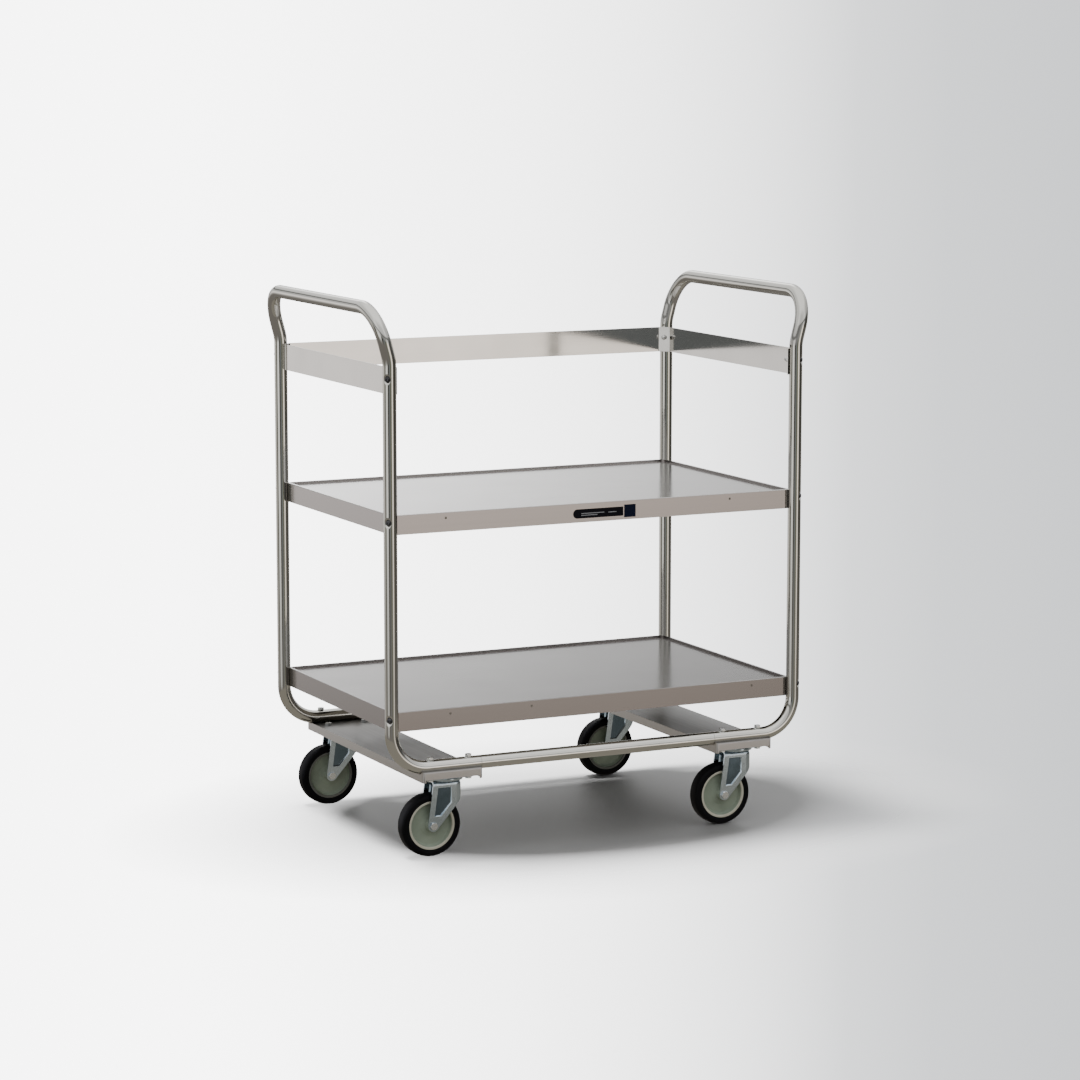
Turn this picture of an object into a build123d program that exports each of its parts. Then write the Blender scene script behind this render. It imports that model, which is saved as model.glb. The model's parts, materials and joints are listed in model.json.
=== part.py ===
from build123d import *
import math
import os

# Stainless two-shelf transport cart, millimetres.
# +X runs along the length, -Y is the open front side, +Z is up.
# The origin is on the floor, under the middle of the cart.

os.makedirs("parts", exist_ok=True)

# ---- overall sizes ----
post_spacing_x = 952.8      # upright centre to upright centre, along the length
post_spacing_y = 596.2      # upright centre to upright centre, across the width
tube_od = 28.6
tube_wall = 1.5

# ---- heights, above the base tube's centreline ----
bottom_shelf_rise = 119.2   # rim of the bottom shelf
middle_shelf_rise = 531.5   # rim of the middle shelf
guard_rise = 837.2          # upper edge of the guard rail
lean_rise = 850.5           # where the uprights start to lean out
handle_rise = 956.5         # handle bar centre

# ---- bent end frames ----
handle_lean_out = 28.4      # how far the handle bar stands out past the uprights
bend_to_shelf = 0.9         # base bend ends this far below the bottom shelf
lean_bend_r = 95.0
handle_bend_r = 75.0
base_joint_gap = 0.8        # dark line between an end frame and a base tube
sleeve_length = 36.0
sleeve_wall = 2.0
sleeve_clearance = 0.05

# ---- shelves ----
shelf_inset = 6.0           # shelf side inside the uprights' centreline
shelf_apron = 41.3
shelf_sheet = 1.5
shelf_rim = 6.0             # width of the raised rim
shelf_recess = 4.4          # deck below the rim
shelf_hem = 11.0            # flange turned in at the foot of the apron
shelf_bend_r = 2.0
shelf_bolt_drop = 13.2      # bolt centre below the rim
stiffener_x = 334.0
stiffener_width = 70.0
stiffener_height = 22.0
stiffener_brim = 14.0
stiffener_sheet = 1.2
stiffener_end_clearance = 0.5

# ---- guard rail ----
guard_inset = 0.0
guard_height = 56.3
guard_sheet = 2.0
guard_bend_r = 4.0
guard_bolt_drop = 23.7

# ---- bolts through the uprights ----
post_bolt_d = 6.0
post_bolt_clearance = 0.2
post_bolt_head_d = 11.0
post_bolt_head_h = 3.4
post_bolt_socket = 4.0
dimple_mouth_d = 19.0
dimple_floor_d = 11.8
dimple_depth = 3.0
cap_nut_af = 10.0
cap_nut_h = 9.0
cap_nut_clearance = 0.1

# ---- casters ----
wheel_d = 134.0
wheel_width = 32.0
wheel_tread_r = 7.0
tyre_depth = 15.0
hub_bore_clearance = 0.05
hub_boss_r = 12.5
hub_side_clearance = 0.5
hub_rim_width = 31.0
hub_rim_depth = 6.5
hub_web_outer = 12.0
hub_web_inner = 17.0
bushing_od = 14.0
axle_d = 9.5
axle_clearance = 0.05
axle_head_af = 15.0
axle_head_h = 5.0
axle_nut_h = 7.0
caster_trail = 37.0
caster_yaw = (0.0, 0.0, 0.0, 0.0)
fork_crown_rise = 94.0      # crown above the axle
fork_sheet = 3.0
fork_gap = 41.0             # between the two legs
fork_back = 36.0
fork_front = 31.0
fork_front_drop = 36.0      # height of the upright front edge
fork_boss_r = 12.0
fork_bend_r = 9.0
fork_curl_r = 16.0          # curl of the front edges, seen from above
fork_brow = 14.0            # crown front above its opening
fork_panel_margin = 12.0
fork_panel_rib = 10.0       # between the panel and the curled front
fork_panel_recess = 1.6
fork_panel_slope = 50.0     # taper of the panel's sides, in degrees
fork_panel_top_drop = 14.0
fork_panel_foot_rise = 20.0
race_gap = 6.0              # between the caster plate and the crown
race_r = 30.0
race_balls = 18
race_clearance = 0.05
race_skirt_r = 37.0
race_skirt_wall = 2.0
race_skirt_drop = 5.3
kingpin_d = 12.0
kingpin_head_d = 22.0
kingpin_head_h = 4.0
kingpin_clearance = 0.05
kingpin_end_gap = 0.2
caster_plate_sheet = 4.0
caster_plate_length = 106.0
caster_plate_width = 67.0
caster_plate_corner = 8.0
caster_hole_x = 87.0        # hole to hole along the length
caster_hole_y = 44.0        # hole to hole across the width
caster_bolt_d = 8.0
caster_bolt_clearance = 0.2
caster_head_af = 13.0
caster_head_h = 5.3
caster_nut_h = 4.6
caster_bolt_end = 0.3       # bolt end past its nut
caster_spacing_x = 692.0    # swivel centre to swivel centre, along the length

# ---- bolsters ----
bolster_length = 137.0      # along the cart
bolster_overhang = 5.6      # end face past the outside of the base tube
bolster_sheet = 2.0
bolster_lip = 5.3           # nose above the deck
bolster_nose_r = 4.0
bolster_corner_r = 6.0
bolster_side_flange = 18.2  # below the deck
bolster_end_flange = 12.2
bolster_end_notch = 7.0     # side flange left standing past the end flange
seat_depth = 2.0            # tube below the deck, in its pressed seat
seat_clearance = 0.05
channel_drop = 9.2          # deck underside to caster plate
channel_web = 3.0
channel_wall = 2.5
channel_length = 118.0
channel_clearance = 0.1

# ---- plates on the middle shelf ----
label_length = 118.0
label_height = 19.5
label_centre_x = 4.0
label_thickness = 0.5
badge_side = 27.0
badge_gap = 2.5
label_drop = 22.8           # label centre below the rim

# ---- worked out from the sizes above ----
post_x = post_spacing_x / 2
post_y = post_spacing_y / 2
tube_r = tube_od / 2
bore_r = tube_r - tube_wall
axle_z = wheel_d / 2
crown_z = axle_z + fork_crown_rise
plate_z = crown_z + race_gap                    # underside of the caster plate
pad_z = plate_z + caster_plate_sheet            # top of the caster plate
deck_under_z = pad_z + channel_drop
deck_z = deck_under_z + bolster_sheet
base_z = deck_z - seat_depth + tube_r           # base tube centreline
bottom_z = base_z + bottom_shelf_rise
middle_z = base_z + middle_shelf_rise
guard_z = base_z + guard_rise
lean_z = base_z + lean_rise
handle_z = base_z + handle_rise
swivel_x = caster_spacing_x / 2
swivel_y = post_y - caster_hole_y / 2
base_bend_r = bottom_shelf_rise - shelf_apron - bend_to_shelf
joint_x = swivel_x - bolster_length / 2 - base_joint_gap / 2
bolster_end_y = post_y + tube_r + bolster_overhang
leg_out_y = fork_gap / 2 + fork_sheet
straight = 2 - math.sqrt(2)                     # corner cut lost for each mm of inset
corners = [(-1, -1), (-1, 1), (1, 1), (1, -1)]
corner_names = {
    (-1, -1): "front_left",
    (-1, 1): "rear_left",
    (1, 1): "rear_right",
    (1, -1): "front_right",
}


# ---- helpers ----
def save(name, *solids):
    """Write one node; several solids go in as a group."""
    shape = solids[0] if len(solids) == 1 else Compound(children=list(solids))
    export_step(shape, f"parts/{name}.step")


def post_plane(corner, z, outward):
    """Plane across an upright at height z, facing out along its diagonal."""
    direction = Vector(corner[0], corner[1], 0).normalized()
    centre = Vector(corner[0] * post_x, corner[1] * post_y, z)
    return Plane(origin=centre + direction * outward, x_dir=(0, 0, 1), z_dir=direction)


def corner_cut(inset):
    """Leg of the 45 degree corner cut whose face just meets the upright."""
    return tube_r * math.sqrt(2) - 2 * inset


def plan(half_x, half_y, leg, bend_r):
    """Rectangle with its four corners cut at 45 degrees and its bends rounded."""
    points = [
        (half_x, half_y - leg), (half_x - leg, half_y),
        (leg - half_x, half_y), (-half_x, half_y - leg),
        (-half_x, leg - half_y), (leg - half_x, -half_y),
        (half_x - leg, -half_y), (half_x, leg - half_y),
    ]
    face = make_face(Polyline(*points, close=True))
    return fillet(face.vertices(), bend_r)


def stepped_plan(inset, depth, bend_r):
    """Outline that touches the uprights, moved inward by a sheet depth."""
    half_x = post_x - inset - depth
    half_y = post_y - inset - depth
    return plan(half_x, half_y, corner_cut(inset) - depth * straight, bend_r)


def slab(face, z_low, z_high):
    """Extrude a plan outline between two heights."""
    return extrude(Pos(0, 0, z_low) * face, amount=z_high - z_low)


def hexagon(across_flats):
    return RegularPolygon(radius=across_flats / 2, side_count=6, major_radius=False)


def upright_cylinder(radius, x, y, z_low, z_high):
    part = Cylinder(radius, z_high - z_low, align=(Align.CENTER, Align.CENTER, Align.MIN))
    return Pos(x, y, z_low) * part


def tube_along(path):
    """Round tube swept along a path."""
    start = Plane(origin=path @ 0, z_dir=path % 0)
    outside = sweep(start * Circle(tube_r), path=path)
    inside = sweep(start * Circle(bore_r), path=path)
    return outside - inside


def hex_head(across_flats, height):
    """Hexagon head with its top corners turned off."""
    crown = Cone(across_flats * 0.5 + height, across_flats * 0.5 - height * 0.15, height * 1.15,
                 align=(Align.CENTER, Align.CENTER, Align.MIN))
    return extrude(hexagon(across_flats), amount=height) & crown


def hex_nut(across_flats, height, bore_radius):
    return hex_head(across_flats, height) - Cylinder(bore_radius, height * 3)


# ---- end frames: one bent tube each, legs, base bends and handle bar ----
def bolt_positions():
    """Heights of the bolts through an upright."""
    return {
        "guard": guard_z - guard_bolt_drop,
        "middle_shelf": middle_z - shelf_bolt_drop,
        "bottom_shelf": bottom_z - shelf_bolt_drop,
    }


def end_frame(side):
    x_stub = side * (joint_x + base_joint_gap / 2)
    x_post = side * post_x
    x_handle = side * (post_x + handle_lean_out)
    points = []
    for across in (-1, 1):
        leg = [
            (x_stub, across * post_y, base_z),
            (x_post, across * post_y, base_z),
            (x_post, across * post_y, lean_z),
            (x_handle, across * post_y, handle_z),
        ]
        points += leg if across < 0 else leg[::-1]
    bends = [base_bend_r, lean_bend_r, handle_bend_r]
    frame = tube_along(FilletPolyline(*points, radius=bends + bends[::-1]))
    for corner in [c for c in corners if c[0] == side]:
        for z in bolt_positions().values():
            frame = dimple(frame, corner, z)
    for x, y in caster_bolt_places("tube", side):
        frame -= upright_cylinder(caster_bolt_d / 2 + caster_bolt_clearance, x, y,
                                  base_z - tube_od, base_z + tube_od)
    return frame


def dimple(frame, corner, z):
    """Press a bolt seat into an upright and drill it through."""
    seat = post_plane(corner, z, tube_r - dimple_depth)
    flare = (dimple_mouth_d - dimple_floor_d) / 2 / dimple_depth
    depth = dimple_depth + 1
    low = (Align.CENTER, Align.CENTER, Align.MIN)
    hollow = Cone(dimple_floor_d / 2, dimple_floor_d / 2 + flare * depth, depth, align=low)
    cup = Cone(dimple_floor_d / 2 + tube_wall - flare * tube_wall,
               dimple_floor_d / 2 + tube_wall + flare * depth, depth + tube_wall, align=low)
    tube = upright_cylinder(tube_r, corner[0] * post_x, corner[1] * post_y, z - tube_od, z + tube_od)
    hole = Cylinder(post_bolt_d / 2 + post_bolt_clearance, tube_od * 3)
    pressed = (seat * Pos(0, 0, -tube_wall) * cup) & tube
    return frame + pressed - seat * hollow - seat * hole


# ---- base tubes and their inner sleeves ----
def base_tube(across):
    length = 2 * (joint_x - base_joint_gap / 2)
    ring = Circle(tube_r) - Circle(bore_r)
    return Plane(origin=(-length / 2, across * post_y, base_z), z_dir=(1, 0, 0)) * extrude(ring, amount=length)


def sleeves():
    outer = bore_r - sleeve_clearance
    ring = extrude(Circle(outer) - Circle(outer - sleeve_wall), amount=sleeve_length)
    return [
        Plane(origin=(side * joint_x - sleeve_length / 2, across * post_y, base_z), z_dir=(1, 0, 0)) * ring
        for side, across in corners
    ]


# ---- shelves: pressed trays with a raised rim, an apron and a turned-in hem ----
def shelf(top):
    foot = top - shelf_apron
    deck = top - shelf_recess
    sheet = shelf_sheet
    tray = slab(stepped_plan(shelf_inset, 0, shelf_bend_r), foot, top)
    tray = fillet(tray.faces().sort_by(Axis.Z)[-1].edges(), shelf_sheet)
    inner_rim = stepped_plan(shelf_inset, shelf_rim, shelf_bend_r)
    tray -= slab(inner_rim, deck, top + 1)
    apron_inside = stepped_plan(shelf_inset, sheet, shelf_bend_r - sheet)
    rim_inside = stepped_plan(shelf_inset, shelf_rim - sheet, shelf_bend_r)
    tray -= slab(apron_inside, foot + sheet, deck - sheet)
    tray -= slab(apron_inside - rim_inside, deck - sheet, top - sheet)
    half_x = post_x - shelf_inset - shelf_hem
    half_y = post_y - shelf_inset - shelf_hem
    tray -= slab(plan(half_x, half_y, corner_cut(shelf_inset) + shelf_hem, shelf_bend_r), foot - 1, foot + sheet)
    for corner in corners:
        hole = Cylinder(post_bolt_d / 2 + post_bolt_clearance, tube_od * 2)
        tray -= post_plane(corner, top - shelf_bolt_drop, -tube_r) * hole
    return tray


def stiffeners(top):
    """Hat channels welded under a deck, across the shelf."""
    z_top = top - shelf_recess - shelf_sheet
    half_y = post_y - shelf_inset - shelf_sheet - stiffener_end_clearance
    inner = stiffener_width - 2 * stiffener_brim
    hat = Rectangle(inner, stiffener_height, align=(Align.CENTER, Align.MAX))
    hollow = Rectangle(inner - 2 * stiffener_sheet, stiffener_height - stiffener_sheet,
                       align=(Align.CENTER, Align.MAX))
    brims = Rectangle(stiffener_width, stiffener_sheet, align=(Align.CENTER, Align.MAX))
    section = hat + brims - hollow
    bar = extrude(Plane.XZ * section, amount=half_y, both=True)
    return [Pos(side * stiffener_x, 0, z_top) * bar for side in (-1, 1)]


# ---- guard rail: a flat strip round the back and both ends ----
def guard_rail():
    low = guard_z - guard_height
    outer = stepped_plan(guard_inset, 0, guard_bend_r)
    inner = stepped_plan(guard_inset, guard_sheet, guard_bend_r - guard_sheet)
    strip = slab(outer - inner, low, guard_z)
    open_x = 2 * (post_x - guard_inset - corner_cut(guard_inset)) + guard_bend_r
    front = Box(open_x, post_y, guard_height * 3)
    strip -= Pos(0, -post_y, guard_z) * front
    for corner in corners:
        hole = Cylinder(post_bolt_d / 2 + post_bolt_clearance, tube_od * 2)
        strip -= post_plane(corner, guard_z - guard_bolt_drop, -tube_r) * hole
    return strip


# ---- bolts and cap nuts through the uprights ----
def post_bolt(corner, z, sheet):
    """Button-head bolt: head in the dimple, end inside the cap nut."""
    grip = 2 * tube_r - dimple_depth + sheet
    shank = Cylinder(post_bolt_d / 2, grip + cap_nut_h - 2, align=(Align.CENTER, Align.CENTER, Align.MAX))
    radius = post_bolt_head_d / 2
    head = Cylinder(radius, post_bolt_head_h, align=(Align.CENTER, Align.CENTER, Align.MIN))
    head = fillet(head.faces().sort_by(Axis.Z)[-1].edges(), post_bolt_head_h * 0.8)
    socket = extrude(hexagon(post_bolt_socket), amount=post_bolt_head_h)
    bolt = head + shank - Pos(0, 0, post_bolt_head_h * 0.4) * socket
    return post_plane(corner, z, tube_r - dimple_depth) * bolt


def cap_nut(corner, z, sheet):
    """Domed nut against the inside of the sheet."""
    hex_h = cap_nut_h * 0.5
    dome_r = cap_nut_af * 0.48
    dome = Pos(0, 0, hex_h) * Sphere(dome_r)
    blank = hex_head(cap_nut_af, hex_h) + dome - Pos(0, 0, -dome_r) * Cylinder(dome_r * 2, 2 * dome_r)
    reach = cap_nut_h - 2 + cap_nut_clearance
    bore = Cylinder(post_bolt_d / 2 + cap_nut_clearance, reach, align=(Align.CENTER, Align.CENTER, Align.MIN))
    seat = post_plane(corner, z, -tube_r - sheet)
    return seat * (Rot(180, 0, 0) * (blank - bore))


# ---- bolsters: pressed pans across the cart, under the base tubes ----
def bolster(side):
    length = bolster_length
    foot = deck_z - bolster_side_flange
    nose_z = deck_z + bolster_lip
    sheet = bolster_sheet
    outer = bolster_profile(bolster_end_y, nose_z, deck_z, tube_r + seat_clearance, bolster_nose_r)
    inner = bolster_profile(bolster_end_y - sheet, nose_z - sheet, deck_z - sheet,
                            tube_r + seat_clearance + sheet, bolster_nose_r - sheet)
    outline = RectangleRounded(length, 2 * bolster_end_y, bolster_corner_r)
    inside = RectangleRounded(length - 2 * sheet, 2 * (bolster_end_y - sheet), bolster_corner_r - sheet)
    shell = extrude(Plane.YZ * outer, amount=length, both=True) & slab(outline, foot, nose_z)
    shell -= extrude(Plane.YZ * inner, amount=length, both=True) & slab(inside, foot - 1, nose_z)
    notch_z = deck_z - bolster_end_flange
    notch = Box(length - 2 * bolster_end_notch, 2 * bolster_end_y + 2, notch_z - foot + 1,
                align=(Align.CENTER, Align.CENTER, Align.MAX))
    keep = Box(length, 2 * post_y, 4 * bolster_side_flange)
    shell -= Pos(0, 0, notch_z) * notch - Pos(0, 0, foot) * keep
    shell = Pos(side * swivel_x, 0, 0) * shell
    for x, y in caster_bolt_places("tube", side) + caster_bolt_places("deck", side):
        shell -= upright_cylinder(caster_bolt_d / 2 + caster_bolt_clearance, x, y, foot, deck_z + tube_r)
    return shell


def bolster_profile(half_y, nose_z, deck_top, seat_r, nose_r):
    """Side profile of a bolster: nose, tube seat, deck, tube seat, nose."""
    low = deck_top - 3 * bolster_side_flange
    block = Pos(0, (nose_z + low) / 2) * Rectangle(2 * half_y, nose_z - low)
    block = fillet(block.vertices().group_by(Axis.Y)[-1], nose_r)
    above = Pos(0, deck_top) * Rectangle(2 * post_y, 4 * tube_r, align=(Align.CENTER, Align.MIN))
    seats = [Pos(across * post_y, base_z) * Circle(seat_r) for across in (-1, 1)]
    return block - above - seats[0] - seats[1]


def bolster_channels(side):
    """Channels between a bolster's deck and its two caster plates."""
    half = caster_plate_width / 2
    web = Rectangle(2 * half, channel_drop, align=(Align.CENTER, Align.MAX))
    hollow = Pos(0, -channel_web) * Rectangle(2 * (half - channel_wall), channel_drop,
                                              align=(Align.CENTER, Align.MAX))
    bar = extrude(Plane.YZ * (web - hollow), amount=channel_length / 2, both=True)
    made = []
    for across in (-1, 1):
        part = Pos(side * swivel_x, across * swivel_y, deck_under_z) * bar
        part -= (Pos(side * swivel_x, across * post_y, base_z) * Rot(0, 90, 0)
                 * Cylinder(tube_r + seat_clearance + bolster_sheet + channel_clearance, bolster_length))
        for x, y in caster_bolt_places("tube", side) + caster_bolt_places("deck", side):
            part -= upright_cylinder(caster_bolt_d / 2 + caster_bolt_clearance, x, y, pad_z, deck_z)
        made.append(part)
    return made


# ---- caster bolts ----
def caster_bolt_places(row, side):
    """Centres of the bolts through a base tube, or through a bolster's deck."""
    y = post_y if row == "tube" else post_y - caster_hole_y
    return [
        (side * swivel_x + end * caster_hole_x / 2, across * y)
        for across in (-1, 1)
        for end in (-1, 1)
    ]


def caster_bolt(x, y, seat_z):
    """Hexagon bolt: head on seat_z, end just past the nut under the plate."""
    end_z = plate_z - caster_nut_h - caster_bolt_end
    shank = upright_cylinder(caster_bolt_d / 2, x, y, end_z, seat_z)
    return shank + Pos(x, y, seat_z) * hex_head(caster_head_af, caster_head_h)


def caster_nut(x, y):
    nut = hex_nut(caster_head_af, caster_nut_h, caster_bolt_d / 2 + caster_bolt_clearance / 2)
    return Pos(x, y, plate_z) * (Rot(180, 0, 0) * nut)


# ---- casters, about the swivel axis, wheel trailing towards -X ----
def caster_plate():
    outline = RectangleRounded(caster_plate_length, caster_plate_width, caster_plate_corner)
    plate = slab(outline, plate_z, pad_z)
    skirt = Circle(race_skirt_r) - Circle(race_skirt_r - race_skirt_wall)
    plate += slab(skirt, plate_z - race_skirt_drop, plate_z)
    plate -= upright_cylinder(kingpin_d / 2, 0, 0, plate_z - 1, pad_z + 1)
    for x in (-caster_hole_x / 2, caster_hole_x / 2):
        for y in (-caster_hole_y / 2, caster_hole_y / 2):
            plate -= upright_cylinder(caster_bolt_d / 2 + caster_bolt_clearance, x, y, plate_z - 1, pad_z + 1)
    return plate


def race_ball_ring():
    radius = race_gap / 2 - race_clearance
    ball = Pos(race_r, 0, plate_z - race_gap / 2) * Sphere(radius)
    return [Rot(0, 0, 360 * i / race_balls) * ball for i in range(race_balls)]


def kingpin():
    head_top = crown_z - fork_sheet - kingpin_end_gap
    shank = upright_cylinder(kingpin_d / 2, 0, 0, head_top - kingpin_head_h, pad_z)
    head = upright_cylinder(kingpin_head_d / 2, 0, 0, head_top - kingpin_head_h, head_top)
    head = fillet(head.faces().sort_by(Axis.Z)[0].edges(), kingpin_head_h * 0.6)
    return shank + head


def fork_block(plan_r, inset, top, bend_r, back):
    """Solid block with curled front corners and a rounded crown."""
    front = fork_front - inset
    half = leg_out_y - inset
    plan = Pos((front - back) / 2, 0) * Rectangle(front + back, 2 * half)
    plan = fillet(plan.vertices().group_by(Axis.X)[-1], plan_r)
    block = extrude(plan, amount=top)
    crown_rim = block.faces().sort_by(Axis.Z)[-1].edges()
    back_rim = crown_rim.sort_by(Axis.X)[0]
    return fillet([e for e in crown_rim if e != back_rim], bend_r)


def fork():
    """Pressed swivel fork: crown, curled front edges, two tapering legs with recessed panels."""
    top = crown_z
    boss = Pos(-caster_trail, axle_z) * Circle(fork_boss_r)
    shoulders = Pos((fork_front - fork_back) / 2, top - fork_front_drop / 2) * Rectangle(
        fork_front + fork_back, fork_front_drop)
    side_face = make_hull([*boss.edges(), *shoulders.edges()])
    reach = 3 * fork_gap
    body = fork_block(fork_curl_r, 0, top, fork_bend_r, reach)
    body -= fork_block(fork_curl_r - fork_sheet, fork_sheet, top - fork_sheet, fork_bend_r - fork_sheet, 2 * reach)
    body &= extrude(Plane.XZ * side_face, amount=reach, both=True)
    mouth = 2 * (leg_out_y - fork_curl_r)
    body -= Box(reach, mouth, top - fork_brow, align=(Align.MIN, Align.CENTER, Align.MIN))
    panel_front = fork_front - fork_curl_r - fork_panel_rib
    panel_top = top - fork_panel_top_drop
    panel_foot = axle_z + fork_panel_foot_rise
    window = offset(side_face, amount=-fork_panel_margin) & (
        Pos(panel_front - reach / 2, (panel_foot + panel_top) / 2) * Rectangle(reach, panel_top - panel_foot))
    for face in (-1, 1):
        outward = Plane.XZ.offset(-face * leg_out_y)
        inward = Plane.XZ.offset(-face * (leg_out_y - fork_sheet))
        dish = extrude(outward * window, amount=face * fork_panel_recess, taper=fork_panel_slope)
        swell = extrude(inward * window, amount=face * fork_panel_recess, taper=fork_panel_slope)
        body = body + swell - dish
    body -= upright_cylinder(kingpin_d / 2 + kingpin_clearance, 0, 0, top - 2 * fork_sheet, top + 1)
    return body - Pos(-caster_trail, 0, axle_z) * (Rot(90, 0, 0) * Cylinder(axle_d / 2, reach))


def axle_set():
    """Axle bolt through both legs, and its nut."""
    half = leg_out_y
    nut_end = half + axle_nut_h
    shank = Cylinder(axle_d / 2, half + nut_end + 1, align=(Align.CENTER, Align.CENTER, Align.MIN))
    bolt = shank + Rot(180, 0, 0) * hex_head(axle_head_af, axle_head_h)
    nut = hex_nut(axle_head_af, axle_nut_h, axle_d / 2 + axle_clearance)
    place = Pos(-caster_trail, -half, axle_z) * Rot(-90, 0, 0)
    return [place * bolt, place * Pos(0, 0, 2 * half) * nut]


def wheel_bushing():
    ring = extrude(Circle(bushing_od / 2) - Circle(axle_d / 2 + axle_clearance), amount=fork_gap / 2, both=True)
    return Pos(-caster_trail, 0, axle_z) * (Rot(90, 0, 0) * ring)


def turned(profile):
    """Turn a profile of (radius, offset along the axle) about the wheel's axle."""
    ring = revolve(Plane.XY * profile, axis=Axis.Y)
    return Pos(-caster_trail, 0, axle_z) * ring


def wheel_hub():
    rim_r = wheel_d / 2 - tyre_depth
    bore = bushing_od / 2 + hub_bore_clearance
    boss = fork_gap / 2 - hub_side_clearance
    points = [
        (bore, boss), (hub_boss_r, boss), (hub_boss_r + 2, hub_web_inner / 2),
        (rim_r - hub_rim_depth - 2, hub_web_outer / 2), (rim_r - hub_rim_depth, hub_rim_width / 2),
        (rim_r, hub_rim_width / 2),
    ]
    mirrored = [(r, -y) for r, y in reversed(points)]
    face = make_face(Polyline(*points, *mirrored, close=True))
    shoulders = [v for v in face.vertices() if hub_boss_r - 1 < v.X < rim_r - 1]
    return turned(fillet(shoulders, 1.2))


def tyre():
    rim_r = wheel_d / 2 - tyre_depth
    face = Pos(rim_r + tyre_depth / 2, 0) * Rectangle(tyre_depth, wheel_width)
    outer = face.vertices().group_by(Axis.X)[-1]
    return turned(fillet(outer, wheel_tread_r))


# ---- plates on the front apron of the middle shelf ----
def apron_plate(face, centre_x):
    front = -(post_y - shelf_inset)
    place = Plane(origin=(centre_x, front, middle_z - label_drop), x_dir=(1, 0, 0), z_dir=(0, -1, 0))
    return place * extrude(face, amount=label_thickness)


def label_face():
    """Bar with one rounded end."""
    radius = label_height / 2
    square = Pos(radius / 2, 0) * Rectangle(label_length - radius, label_height)
    return square + Pos(radius - label_length / 2, 0) * Circle(radius)


# ---- build ----
save("left_end_frame", end_frame(-1))
save("right_end_frame", end_frame(1))
save("front_base_tube", base_tube(-1))
save("rear_base_tube", base_tube(1))
save("base_tube_sleeves", *sleeves())
save("middle_shelf", shelf(middle_z))
save("bottom_shelf", shelf(bottom_z))
save("middle_shelf_stiffeners", *stiffeners(middle_z))
save("bottom_shelf_stiffeners", *stiffeners(bottom_z))
save("guard_rail", guard_rail())

for level, bolt_z in bolt_positions().items():
    level_sheet = guard_sheet if level == "guard" else shelf_sheet
    save(f"{level}_bolts", *[post_bolt(c, bolt_z, level_sheet) for c in corners])
    save(f"{level}_cap_nuts", *[cap_nut(c, bolt_z, level_sheet) for c in corners])

for side, side_name in ((-1, "left"), (1, "right")):
    save(f"{side_name}_bolster", bolster(side))
    save(f"{side_name}_bolster_channels", *bolster_channels(side))

tube_places = caster_bolt_places("tube", -1) + caster_bolt_places("tube", 1)
deck_places = caster_bolt_places("deck", -1) + caster_bolt_places("deck", 1)
save("caster_tube_bolts", *[caster_bolt(x, y, base_z + tube_r) for x, y in tube_places])
save("caster_deck_bolts", *[caster_bolt(x, y, deck_z) for x, y in deck_places])
save("caster_nuts", *[caster_nut(x, y) for x, y in tube_places + deck_places])

plate_part = caster_plate()
caster_parts = {
    "ball_race": race_ball_ring(),
    "kingpin": [kingpin()],
    "fork": [fork()],
    "axle": axle_set(),
    "bushing": [wheel_bushing()],
    "wheel_hub": [wheel_hub()],
    "tyre": [tyre()],
}
for corner, yaw in zip(corners, caster_yaw):
    place = Pos(corner[0] * swivel_x, corner[1] * swivel_y, 0)
    save(f"{corner_names[corner]}_caster_plate", place * plate_part)
    for part_name, pieces in caster_parts.items():
        save(f"{corner_names[corner]}_{part_name}", *[place * Rot(0, 0, yaw) * p for p in pieces])

badge_x = label_centre_x + label_length / 2 + badge_gap + badge_side / 2
save("label_bar", apron_plate(label_face(), label_centre_x))
save("label_square", apron_plate(Rectangle(badge_side, badge_side), badge_x))
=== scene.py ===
"""Stainless two-shelf transport cart: finishes, shaped pieces, floor, light and camera."""

import json
import logging
import math
from dataclasses import dataclass, field
from enum import Enum
from typing import Sequence

import bmesh
import bpy
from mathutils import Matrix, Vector


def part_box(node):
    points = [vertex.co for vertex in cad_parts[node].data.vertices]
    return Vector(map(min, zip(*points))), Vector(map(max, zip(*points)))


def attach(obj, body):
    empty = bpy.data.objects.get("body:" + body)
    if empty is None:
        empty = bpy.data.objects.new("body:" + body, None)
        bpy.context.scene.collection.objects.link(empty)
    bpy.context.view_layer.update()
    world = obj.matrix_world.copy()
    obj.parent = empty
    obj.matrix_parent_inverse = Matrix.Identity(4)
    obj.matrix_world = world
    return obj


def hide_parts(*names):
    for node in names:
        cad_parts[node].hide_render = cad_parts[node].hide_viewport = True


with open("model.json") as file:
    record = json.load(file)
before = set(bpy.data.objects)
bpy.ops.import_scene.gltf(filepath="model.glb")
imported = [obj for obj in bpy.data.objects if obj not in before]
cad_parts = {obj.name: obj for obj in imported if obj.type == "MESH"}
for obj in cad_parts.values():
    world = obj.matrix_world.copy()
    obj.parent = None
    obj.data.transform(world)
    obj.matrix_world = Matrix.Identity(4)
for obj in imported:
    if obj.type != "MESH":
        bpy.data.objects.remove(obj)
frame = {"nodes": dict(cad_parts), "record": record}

LOG = logging.getLogger("cart")
MM = 0.001
ROOT_BODY = "cart_frame"
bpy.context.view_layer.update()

Point = tuple[float, float]
Colour = tuple[float, float, float]
Place = tuple[float, float, float]
Stop = tuple[float, Colour, float]


class Corner(Enum):
    """The four corners of the cart, as signs along X and Y."""

    FRONT_LEFT = (-1, -1)
    REAR_LEFT = (-1, 1)
    REAR_RIGHT = (1, 1)
    FRONT_RIGHT = (1, -1)

    @property
    def label(self) -> str:
        """Name used in node and body names."""
        return self.name.lower()


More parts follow.
